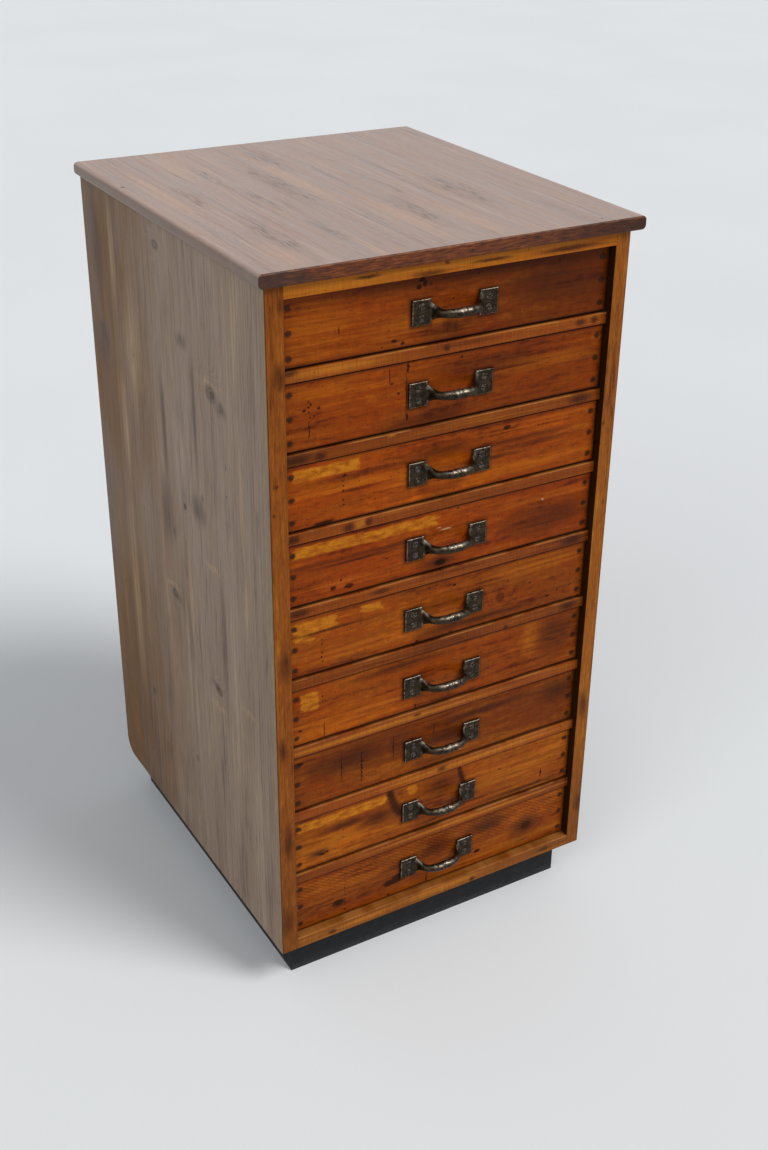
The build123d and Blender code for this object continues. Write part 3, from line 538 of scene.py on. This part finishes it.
def stile_material(name, node_name, seed, tone, marks):
    low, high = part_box(node_name)
    g = Graph(name)
    rings, streaks, fibres, clouds, _ = grain(g, g.z, g.x, g.y, seed, 2.6, (-60, 40), 0.004, 5.0)
    blotch = (g.noise(g.x / 5, g.z / 22, g.y / 5, seed + 14, 4.0, 0.65) - 0.5) * 8
    value = clouds * 0.4 + streaks * 0.45 + fibres * 0.45 + blotch * 0.45 - rings * 0.7 + 0.2
    colour = g.tones(value, *wood_tones(tone))
    a = g.x + (g.noise(g.x / 3, g.z / 7, 0.0, seed + 5, 3.0) - 0.5) * 5
    b = g.z + (g.noise(g.x / 3, g.z / 9, 0.0, seed + 6, 3.0) - 0.5) * 14
    here = g.most([spot(g, a, b, place, size, 0.8) for place, size in marks])
    colour = g.mix(here * g.step(fibres + streaks, -1.5, 1.5, 0.4, 0.9), colour, "#331504")
    # the foot is the most handled and knocked
    colour = g.mix(g.step(g.z + clouds * 14, 420.0, 60.0) * 0.4, colour, "#4a250c")
    pores = g.noise(g.x / 0.8, g.z / 14, g.y / 0.8, seed + 12, 3.0, 0.6)
    colour = g.shade(colour, g.step(pores, 0.32, 0.66, 0.7, 1.14))
    # dark line along the corner, outer face grey-brown like the panel, painted shade on the inner face beside
    # the drawers
    inner = g.facing()[0] * (1 if high.x < 0 else -1)
    outer = g.x - low.x * MM if high.x < 0 else high.x * MM - g.x
    colour = g.mix(g.step(outer, 2.0, 0.8) * 0.75, colour, "#1e0c05")
    # the grey of the outer face is partly a painted reflection of a pale wall
    grey = g.tones(value, "#5f4f3e", "#85725d", "#9a8973")
    colour = g.mix(g.step(inner, -0.5, -0.9), colour, g.shade(grey, g.step(pores, 0.32, 0.66, 0.86, 1.07)))
    colour = g.mix(g.step(inner, 0.5, 0.9) * 0.93, colour, "#120804")
    relief = rings * -0.25 + pores * 0.5 - here * 0.2
    return g.finish(colour, g.step(clouds, -1.5, 1.5, 0.32, 0.5), relief, depth_mm=0.35, specular=0.09)


dress("left_stile", stile_material("stile_wood_left", "left_stile", 103.0, "#804410", [
    ((-229, 861), (9, 13)), ((-236, 735), (3, 3)), ((-239, 700), (2, 2)), ((-230, 500), (7, 20)),
    ((-236, 380), (6, 14)), ((-232, 240), (5, 24)), ((-236, 110), (8, 20)), ((-226, 940), (4, 8))]))
dress("right_stile", stile_material("stile_wood_right", "right_stile", 114.0, "#8a4d13", [
    ((218, 722), (2, 2)), ((215, 694), (2, 2)), ((228, 610), (1.6, 3)), ((224, 300), (6, 20)),
    ((230, 130), (6, 16))]))


# ---------------------------------------------------------------- side panels
PANEL_BOARD = 105  # width of one board of a side panel
PANEL_START = 216  # the boards are counted from v = -216


def side_material(name, seed, knots, marks, mirror):
    """Upright boards glued edge to edge. mirror turns the pattern round for the right panel."""
    g = Graph(name)
    v = g.y * -1 + 7 if mirror else g.y * 1
    board = g.math("FLOOR", (v + PANEL_START) / PANEL_BOARD)
    joint = g.math("ABSOLUTE", g.math("FRACT", (v + PANEL_START) / PANEL_BOARD) - 0.5)
    own = board * 6.1 + seed
    rings, streaks, fibres, clouds, core = grain(
        g, g.z, v, g.x, own, 4.6, (20, 30), 0.012, 14.0, knots)
    tint = g.noise(board * 3.3, 0.0, 0.0, seed, 0.0)
    wash = (g.noise(v / 40, g.z / 300, 0.0, own + 2, 3.0, 0.6) - 0.5) * 8
    value = clouds * 0.35 + wash * 0.5 + streaks * 0.5 + fibres * 0.35 - rings * 0.9
    value = value + (tint - 0.5) * 3.0 + 0.25
    # browner towards one edge, which is the rear one on the left panel; the greyer tones towards the other
    # edge are partly a painted reflection of a pale wall
    rear = g.step(v + clouds * 20, -60.0, 230.0)
    colour = g.mix(rear, g.tones(value, "#66513f", "#877260", "#9b8876"),
                   g.tones(value, "#4a2d12", "#684722", "#7f5d36"))
    # uneven edges for every mark
    a = v + (g.noise(v / 4, g.z / 30, 0.0, seed + 5, 3.0) - 0.5) * 8
    b = g.z + (g.noise(v / 8, g.z / 30, 0.0, seed + 6, 3.0) - 0.5) * 30
    for kind, hue, share in (("pale", "#a58a68", 0.65), ("dark", "#3c2d25", 0.8)):
        here = g.most([spot(g, a, b, place, size, 0.8) for place, size in marks[kind]])
        colour = g.mix(here * g.step(streaks + fibres * 0.6, -1.6, 1.2, 0.3, 1.0) * share, colour, hue)
    smudge = g.noise(v / 26, g.z / 120, 0.0, seed + 9, 4.0, 0.65)
    colour = g.mix(g.step(smudge, 0.54, 0.7) * 0.4, colour, "#4b3d36")
    colour = g.mix(core * g.step(rings + fibres * 0.2, 0.0, 0.6, 0.35, 0.8), colour, "#33231a")
    ticks, pick = g.dots(v / 34, g.z / 46, seed)
    pits = g.step(ticks, 0.06, 0.02) * g.step(pick, 0.6, 0.66)
    colour = g.mix(pits * 0.8, colour, "#1c120c")
    colour = g.mix(g.step(joint, 0.493, 0.5) * 0.55, colour, "#2c1e13")
    pores = g.noise(v / 0.9, g.z / 20, g.x / 0.9, seed + 12, 3.0, 0.6)
    colour = g.shade(colour, g.step(pores, 0.32, 0.66, 0.86, 1.07))
    relief = rings * -0.35 + pores * 0.4 + streaks * 0.04 - core * 0.3 - pits
    roughness = g.step(clouds + fibres * 0.3, -1.5, 1.5, 0.32, 0.5)
    return g.finish(colour, roughness, relief, depth_mm=0.35, specular=0.14)


# knots as place along z and y, then half length and half width; marks as place and half size in y and z
LEFT_KNOTS = [((795, -113), (14, 20)), ((934, 32), (8, 14)), ((765, 235), (18, 12)), ((609, -15), (8, 7)),
              ((460, 36), (9, 12)), ((377, -96), (9, 12)), ((244, 144), (7, 6))]
LEFT_MARKS = {
    "pale": [((184, 890), (7, 60)), ((178, 640), (8, 60)), ((184, 390), (11, 130)), ((130, 770), (22, 60)),
             ((-108, 806), (30, 4)), ((-15, 680), (4, 36)), ((-18, 490), (5, 60)), ((-187, 700), (4, 80)),
             ((-190, 548), (5, 34)), ((-184, 890), (4, 60)), ((-18, 316), (4, 50)), ((-93, 556), (20, 4)),
             ((-96, 351), (20, 5)), ((40, 470), (16, 3)), ((-187, 393), (16, 4))],
    "dark": [((-139, 784), (14, 8)), ((-59, 622), (18, 16)), ((-72, 642), (4, 4)), ((46, 576), (18, 40)),
             ((25, 556), (4, 8)), ((-120, 450), (6, 90)), ((-90, 380), (14, 5)), ((235, 750), (16, 30)),
             ((30, 455), (14, 5)), ((-147, 714), (2, 3)), ((-32, 834), (14, 8)), ((238, 880), (20, 60)),
             ((144, 244), (5, 6)), ((-8, 218), (5, 5)), ((-60, 740), (5, 60)), ((40, 700), (6, 70))],
}
RIGHT_KNOTS = [((760, -80), (10, 20)), ((560, 90), (14, 16)), ((420, -160), (9, 18)), ((250, 20), (12, 14)),
               ((860, 160), (8, 16))]
RIGHT_MARKS = {
    "pale": [((130, 700), (10, 110)), ((-90, 380), (12, 100)), ((30, 250), (8, 70)), ((-80, 772), (24, 4))],
    "dark": [((90, 540), (16, 26)), ((-165, 408), (14, 7)), ((-20, 640), (6, 80)), ((200, 300), (18, 60))],
}
dress("left_side_panel", side_material("side_wood_left", 125.0, LEFT_KNOTS, LEFT_MARKS, False))
dress("right_side_panel", side_material("side_wood_right", 136.0, RIGHT_KNOTS, RIGHT_MARKS, True))


# ---------------------------------------------------------------- slab
def slab_material():
    low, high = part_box("top_slab")
    g = Graph("slab_wood")
    rings, streaks, fibres, _, _ = grain(
        g, g.y, g.x, g.z, 147.0, 6.5, (30, 930), 0.05, 26.0, [((146, 8), (14, 9)), ((218, 107), (26, 20))])
    wide = (g.noise(g.y / 420, g.x / 30, 0.0, 150.0, 3.0, 0.6) - 0.5) * 8
    value = wide * 0.5 + streaks * 0.6 + fibres * 0.3 - rings * 0.6 + 0.15
    # the pale pinkish grey is partly a painted reflection of a pale wall over the brown wood
    colour = g.tones(value, "#7d675f", "#9c887f", "#b09b90")
    hue = g.noise(g.y / 200, g.x / 12, 0.0, 155.0, 3.0, 0.6)
    warmer = g.mix(1.0, colour, (1.1, 0.93, 0.8, 1.0), "MULTIPLY")
    colour = g.mix(g.step(hue, 0.42, 0.6) * 0.5, colour, warmer)
    a = g.x + (g.noise(g.x / 5, g.y / 60, 0.0, 151.0, 3.0) - 0.5) * 10
    b = g.y + (g.noise(g.x / 5, g.y / 60, 0.0, 152.0, 3.0) - 0.5) * 60
    cool = g.most([spot(g, a, b, place, size, 0.8) for place, size in (
        ((-129, 124), (6, 50)), ((-118, -3), (6, 46)), ((-191, 41), (8, 50)), ((-175, -147), (12, 70)),
        ((-110, -152), (7, 40)), ((20, -130), (10, 60)), ((199, -46), (4, 46)), ((-66, 60), (12, 90)),
        ((120, -60), (16, 70)), ((-24, 190), (10, 60)))])
    scores = g.noise(g.x / 1.7, g.y / 34, 0.0, 157.0, 3.0, 0.6)
    colour = g.mix(cool * g.step(scores, 0.5, 0.4, 0.1, 0.9), colour, "#564c46")
    warm = g.most([spot(g, a, b, place, size, 0.9) for place, size in (
        ((-40, 75), (11, 110)), ((-3, -163), (12, 90)), ((-196, -218), (14, 40)), ((-215, 60), (10, 120)),
        ((-150, 200), (12, 60)), ((60, -200), (10, 60)))])
    colour = g.mix(warm * g.step(streaks + fibres, -2.0, 1.5, 0.2, 0.6), colour, "#b6937c")
    pores = g.noise(g.x / 0.9, g.y / 16, 0.0, 153.0, 3.0, 0.6)
    colour = g.shade(colour, g.step(pores, 0.32, 0.66, 0.88, 1.06))
    # end grain in front and behind, darker below the top along the long edges
    front = g.step(g.y, low.y * MM + 2.4, low.y * MM + 1.0)
    back = g.step(g.y, high.y * MM - 2.4, high.y * MM - 1.0)
    below = g.step(g.z, high.z * MM - 0.2, high.z * MM - 4.5)
    cut = g.noise(g.x / 14, g.y / 14, g.z / 2.0, 154.0, 4.0, 0.65)
    end = g.tones((cut - 0.5) * 9 + fibres * 0.4, "#250e05", "#5a290b", "#7d4418")
    # painted shade: the left end of the end grain made darker and greyer
    end = g.mix(g.step(g.x + (cut - 0.5) * 90, -150.0, -235.0) * 0.7, end, "#2a211e")
    end = g.shade(end, g.step(g.x, 40.0, 230.0, 1.0, 0.4))
    colour = g.mix(g.math("MAXIMUM", front, back), colour, end)
    colour = g.mix(below * (1.0 - front) * 0.68, colour, "#5b4835")
    edge = g.step(g.math("ABSOLUTE", g.z - high.z * MM + 1.2), 1.2, 0.2)
    edge = edge * g.step(g.y, low.y * MM + 3.0, low.y * MM + 1.2)
    colour = g.mix(edge * g.step(cut, 0.4, 0.6) * 0.45, colour, "#8a5530")
    ticks, pick = g.dots(g.x / 40, g.y / 44, 0.7)
    pits = g.step(ticks, 0.045, 0.02) * g.step(pick, 0.6, 0.66)
    nicks = g.most([pits, spot(g, g.x, g.y, (-244, 127), (2.2, 3.4)),
                    spot(g, g.x, g.y, (196, -255), (1.6, 1.6))])
    colour = g.mix(nicks * 0.8, colour, "#1f1510")
    relief = rings * -0.3 + pores * 0.45 + streaks * 0.04 - nicks
    roughness = g.step(wide + fibres * 0.5, -1.6, 1.6, 0.32, 0.46)
    return g.finish(colour, roughness, relief, depth_mm=0.35, specular=0.26)


dress("top_slab", slab_material())


# ---------------------------------------------------------------- bare inner wood
BACK_BOARD = 91.08  # width of one board of the back
BOX_INSIDE = 203.3  # from the middle of a drawer to the inner face of its side


def bare_material(name, along, seed, tones=("#8a6b45", "#a98a5f", "#c3a67a"), board_w=0.0):
    """Aged bare pine with its fibres along x, y or z."""
    g = Graph(name)
    places = {"x": (g.x, g.z, g.y), "y": (g.y, g.x, g.z), "z": (g.z, g.x, g.y)}
    u, v, w = places[along]
    own = g.math("FLOOR", v / board_w) * 5.7 + seed if board_w else seed
    rings, streaks, fibres, clouds, _ = grain(g, u, v, w, own, 4.0, (10, 60), 0.008, 12.0)
    colour = g.tones(clouds * 0.5 + streaks * 0.5 + fibres * 0.3 - rings * 1.1 + 0.35, *tones)
    dust = g.noise(g.x / 90, g.y / 90, g.z / 90, seed + 4, 4.0, 0.6)
    colour = g.mix(g.step(dust, 0.5, 0.75) * 0.35, colour, "#5c4630")
    relief = rings * -0.4 + fibres * 0.08
    return g.finish(colour, g.step(fibres, -1.5, 1.5, 0.62, 0.8), relief, depth_mm=0.3, specular=0.3)


LEVEL_BARE = bare_material("raw_wood_across", "x", 160.0)
DEEP_BARE = bare_material("raw_wood_deep", "y", 171.0)
UPRIGHT_BARE = bare_material("raw_wood_back", "z", 182.0, ("#6b4f33", "#876848", "#a2835c"), BACK_BOARD)
for name in ("left_runners", "right_runners", "floor_board"):
    dress(name, DEEP_BARE)
dress("rear_top_rail", LEVEL_BARE)
dress("back_boards", UPRIGHT_BARE)


def drawer_box_material(number):
    """Sides have their fibres from front to back, and the back has them across."""
    seed = 190.0 + 3.7 * number
    g = Graph(f"raw_wood_box_{number}")
    in_back = g.step(g.math("ABSOLUTE", g.x - FRONT_MIDDLE_X), BOX_INSIDE, BOX_INSIDE - 0.1)
    u = g.x * in_back + g.y * (1.0 - in_back)
    w = g.x * (1.0 - in_back)
    rings, streaks, fibres, clouds, _ = grain(g, u, g.z, w, seed, 3.6, (-40, 30), 0.01, 10.0)
    value = clouds * 0.5 + streaks * 0.5 + fibres * 0.3 - rings * 1.1 + 0.35
    colour = g.tones(value, "#7a5730", "#a07d50", "#bb9a69")
    # rubbed darker along the top edge and where the front meets the sides
    top_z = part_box(f"drawer_{number}_box")[1].z * MM
    top = g.step(g.z, top_z - 5, top_z)
    colour = g.mix(top * 0.4, colour, "#6b4a2a")
    colour = g.mix(g.step(g.y, -190.0, -232.0) * 0.5, colour, "#6a4222")
    relief = rings * -0.4 + fibres * 0.08
    return g.finish(colour, g.step(fibres, -1.5, 1.5, 0.58, 0.78), relief, depth_mm=0.3, specular=0.3)


for number in DRAWERS:
    dress(f"drawer_{number}_box", drawer_box_material(number))
    dress(f"drawer_{number}_bottom", bare_material(
        f"raw_wood_bottom_{number}", "x", 230.0 + 4.1 * number, ("#83643f", "#9f8057", "#b99a6c")))


# ---------------------------------------------------------------- plinth
def plinth_material():
    g = Graph("black_paint")
    brush = g.noise(g.x / 40, g.y / 40, g.z / 1.2, 260.0, 3.0, 0.6)
    worn = g.noise(g.x / 14, g.y / 14, g.z / 9, 262.0, 4.0, 0.65)
    colour = g.mix(g.step(brush, 0.3, 0.7), "#0f1011", "#191a1c")
    scuffed = g.step(worn, 0.66, 0.74) * g.step(g.z, 22.0, 2.0)
    colour = g.mix(scuffed * 0.5, colour, "#3a3733")
    dust = g.step(g.z + (worn - 0.5) * 20, 14.0, 0.0)
    colour = g.mix(dust * 0.25, colour, "#4a4a48")
    relief = brush * 0.5 + worn * 0.3
    return g.finish(colour, g.step(worn, 0.3, 0.7, 0.5, 0.68), relief, depth_mm=0.25, specular=0.2)


dress("plinth", plinth_material())


# ---------------------------------------------------------------- iron
# a plate's middle from the pull's middle, half its width and height, and the screws' rise on it
PLATE_X, PLATE_HALF_W, PLATE_HALF_H, SCREW_RISE = 45, 12, 15, 7


def pull_material(number):
    """Blackened casting, rough in its hollows, with rubbed wear and painted highlights on edges, necks and
    the upper side of the grip.
    """
    low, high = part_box(f"drawer_{number}_pull")
    centre = (low + high) * HALF_MM
    face = high.y * MM
    seed = 270.0 + 3.3 * number
    g = Graph(f"cast_iron_{number}")
    a, b, out = g.x - centre.x, g.z - centre.z, (g.y * -1) + face
    mottle = g.noise(a / 5, out / 5, b / 5, seed, 4.0, 0.65)
    fine = g.noise(a / 1.3, out / 1.3, b / 1.3, seed + 1, 3.0, 0.6)
    colour = g.mix(g.step(mottle, 0.36, 0.64), "#1e170d", "#3c3224")
    rust = g.noise(a / 9, out / 9, b / 9, seed + 2, 4.0, 0.6)
    colour = g.mix(g.step(rust, 0.54, 0.68) * 0.5, colour, "#4a2a16")
    # edges of the plates
    side = g.math("ABSOLUTE", g.math("ABSOLUTE", a) - PLATE_X)
    rim = g.math("MINIMUM", PLATE_HALF_W - side, PLATE_HALF_H - g.math("ABSOLUTE", b))
    plate = g.step(out, 5.0, 4.2)
    edge = plate * g.step(rim, 1.1, 0.2) * g.step(out, 1.2, 2.6)
    # painted highlight, partly rubbed wear: the upper front side of the bar, facing the light, and the ridges
    # of its two necks
    _, forward, upward = g.facing()
    faces_up_front = g.step(upward * 0.8 - forward * 0.6, 0.72, 1.0)
    grip = faces_up_front * g.step(out, 12.0, 24.0) * g.step(g.math("ABSOLUTE", a), 26.0, 4.0)
    neck = g.step(g.math("ABSOLUTE", g.math("ABSOLUTE", a) - 32), 6.0, 1.0) * g.step(b, 3.0, 8.5)
    rubbed_and_highlight = g.most([edge, grip, neck * 0.7]) * g.step(mottle + fine * 0.5, 0.6, 0.9, 0.05, 1.0)
    colour = g.mix(rubbed_and_highlight * 0.7, colour, "#a89c8c")
    around = spot(g, g.math("ABSOLUTE", a), g.math("ABSOLUTE", b), (PLATE_X, SCREW_RISE), (5.4, 5.4), 0.15)
    colour = g.mix(around * plate * 0.6, colour, "#160f0a")
    if number == 7:
        chip = spot(g, a, b, (12, -4), (2.6, 2.2)) * g.step(out, 20.0, 24.0)
        colour = g.mix(chip, colour, "#c9c3a4")
    roughness = g.step(mottle, 0.3, 0.7, 0.25, 0.48) - rubbed_and_highlight * 0.05
    relief = mottle * 0.7 + fine * 0.25
    return g.finish(colour, roughness, relief, depth_mm=0.45, specular=0.5, metallic=0.85)


def fixings_material(name, seed, screws_x=None):
    """Rusted heads of nails and screws. The screws, near screws_x, are brighter: partly rubbed, partly a
    painted highlight.
    """
    g = Graph(name)
    mottle = g.noise(g.x / 1.5, g.y / 1.5, g.z / 1.5, seed, 4.0, 0.65)
    colour = g.mix(g.step(mottle, 0.35, 0.65), "#17100c", "#382a20")
    bright = g.noise(g.x / 2.2, g.y / 2.2, g.z / 2.2, seed + 3, 2.0, 0.6)
    shine = g.step(bright, 0.6, 0.72) * (0.5 if screws_x is None else 0.15)
    if screws_x is not None:
        is_screw = g.step(g.math("ABSOLUTE", g.x - screws_x), 70.0, 65.0)
        rubbed_and_highlight = is_screw * g.step(bright, 0.44, 0.6, 0.0, 0.42)
        shine = g.math("MAXIMUM", shine, rubbed_and_highlight)
    colour = g.mix(shine, colour, "#8c8272")
    roughness = g.step(mottle, 0.3, 0.7, 0.36, 0.6)
    return g.finish(colour, roughness, mottle, depth_mm=0.2, specular=0.5, metallic=0.75)


for number in DRAWERS:
    dress(f"drawer_{number}_pull", pull_material(number))
    pull_low, pull_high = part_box(f"drawer_{number}_pull")
    dress(f"drawer_{number}_fixings", fixings_material(
        f"fixing_iron_{number}", 310.0 + number, (pull_low.x + pull_high.x) * HALF_MM))
dress("carcass_fixings", fixings_material("fixing_iron_case", 330.0))


# ---------------------------------------------------------------- floor, light and camera
def floor_material():
    g = Graph("floor")
    grit = g.noise(g.x / 3, g.y / 3, 0.0, 340.0, 3.0, 0.6)
    wide = g.noise(g.x / 900, g.y / 900, 0.0, 341.0, 2.0, 0.5)
    colour = g.mix(g.step(wide, 0.3, 0.7), "#d6d8db", "#d8dbdd")
    return g.finish(colour, 0.75, grit, depth_mm=0.1, specular=0.3)


bpy.ops.mesh.primitive_plane_add(size=60)
floor = bpy.context.object
floor.name = "floor"
floor.data.materials.append(floor_material())

world = bpy.data.worlds.new("studio")
bpy.context.scene.world = world
world.use_nodes = True
sky = world.node_tree
sky.nodes.clear()
sky_out = sky.nodes.new("ShaderNodeOutputWorld")
seen = sky.nodes.new("ShaderNodeBackground")
seen.inputs["Color"].default_value = linear("#dfe1e4")
seen.inputs["Strength"].default_value = 1.0
lighting = sky.nodes.new("ShaderNodeBackground")
lighting.inputs["Color"].default_value = (0.96, 0.98, 1.0, 1.0)
lighting.inputs["Strength"].default_value = 0.4
rays = sky.nodes.new("ShaderNodeLightPath")
looked_at = None
for kind in ("Is Glossy Ray", "Is Transmission Ray"):
    add = sky.nodes.new("ShaderNodeMath")
    add.operation = "ADD"
    add.use_clamp = True
    sky.links.new(looked_at or rays.outputs["Is Camera Ray"], add.inputs[0])
    sky.links.new(rays.outputs[kind], add.inputs[1])
    looked_at = add.outputs[0]
choose = sky.nodes.new("ShaderNodeMixShader")
sky.links.new(looked_at, choose.inputs[0])
sky.links.new(lighting.outputs[0], choose.inputs[1])
sky.links.new(seen.outputs[0], choose.inputs[2])
sky.links.new(choose.outputs[0], sky_out.inputs[0])


def sun(name, azimuth, elevation, strength, spread, tint):
    """Soft light from a direction: azimuth 0 is straight in front of the drawers, 90 to their right."""
    data = bpy.data.lights.new(name, "SUN")
    data.energy, data.angle, data.color = strength, math.radians(spread), tint
    lamp = bpy.data.objects.new(name, data)
    bpy.context.scene.collection.objects.link(lamp)
    turn, rise = math.radians(azimuth), math.radians(elevation)
    towards = Vector((math.sin(turn) * math.cos(rise), -math.cos(turn) * math.cos(rise), math.sin(rise)))
    lamp.rotation_mode = "QUATERNION"
    lamp.rotation_quaternion = towards.to_track_quat("Z", "Y")


# name, azimuth, elevation, strength, spread in degrees, tint
sun("key", 34, 50, 2.15, 24, (1.0, 0.985, 0.96))
sun("fill", -56, 34, 1.0, 50, (0.94, 0.97, 1.0))

# The camera was fitted to the photograph's straight edges: turn, downward tilt and roll in radians.
YAW, PITCH, ROLL = 0.55302, 0.49357, 0.0222
CAMERA_PLACE = (-0.8900, -1.6175, 1.4418)
SENSOR_MM, LENS_MM = 36.0, 46.8645
SHIFT_X, SHIFT_Y = -0.02688, -0.00471
ahead = Vector((math.sin(YAW) * math.cos(PITCH), math.cos(YAW) * math.cos(PITCH), -math.sin(PITCH)))
level = Vector((math.cos(YAW), -math.sin(YAW), 0.0))
upward = level.cross(ahead)
right = level * math.cos(ROLL) + upward * math.sin(ROLL)
top = upward * math.cos(ROLL) - level * math.sin(ROLL)
lens = bpy.data.cameras.new("camera")
lens.sensor_width, lens.lens = SENSOR_MM, LENS_MM
lens.shift_x, lens.shift_y = SHIFT_X, SHIFT_Y
lens.clip_start, lens.clip_end = 0.05, 100.0
camera = bpy.data.objects.new("camera", lens)
bpy.context.scene.collection.objects.link(camera)
camera.matrix_world = Matrix.Translation(CAMERA_PLACE) @ Matrix(
    (right, top, -ahead)).transposed().to_4x4()
bpy.context.scene.camera = camera
bpy.context.scene.view_settings.view_transform = "Standard"
